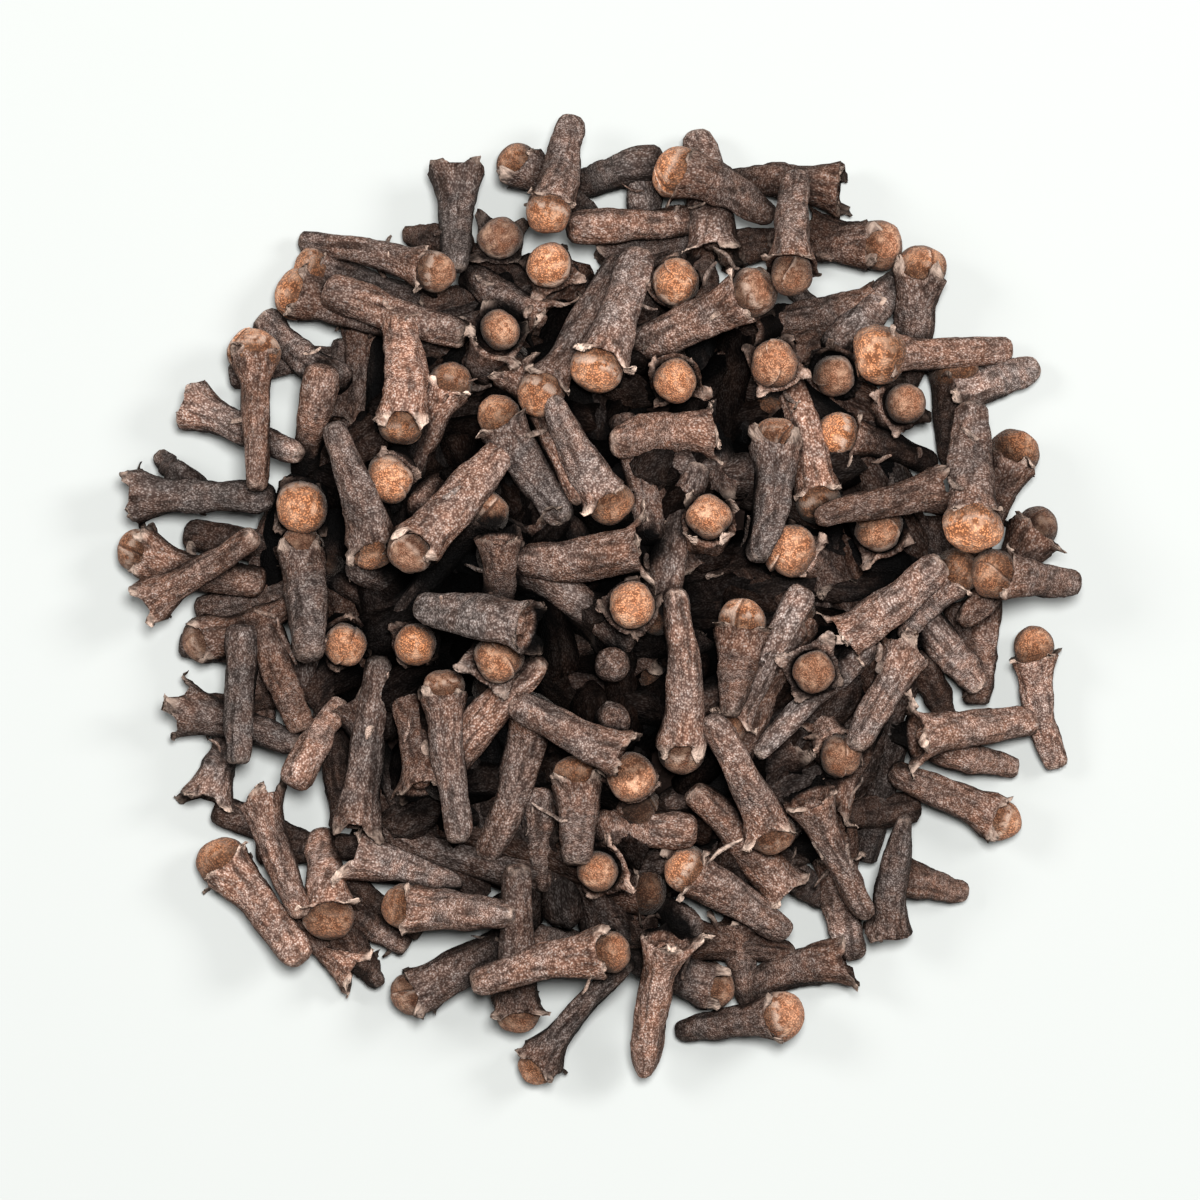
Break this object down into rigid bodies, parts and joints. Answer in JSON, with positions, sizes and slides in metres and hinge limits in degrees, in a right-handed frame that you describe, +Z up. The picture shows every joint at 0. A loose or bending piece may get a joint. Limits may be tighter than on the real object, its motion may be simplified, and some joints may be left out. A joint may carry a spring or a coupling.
{
  "type": "heap of whole cloves",
  "caption": "Loose round heap of dried whole cloves with tapering stems, four-lobed calyxes and round buds, lying as poured on a flat surface.",
  "frame": {"origin": "on the surface that the heap lies on, under the middle of its outline", "axes": "+Z up; +Y towards the top of the picture, which looks straight down; +X to its right"},
  "size_m": [0.0875, 0.0888, 0.0218],
  "materials": {
    "clove": "dry, matt, finely wrinkled dark brown with paler tan buds"
  },
  "bodies": {
    "root": {"clove_heap": "clove"}
  },
  "joints": []
}
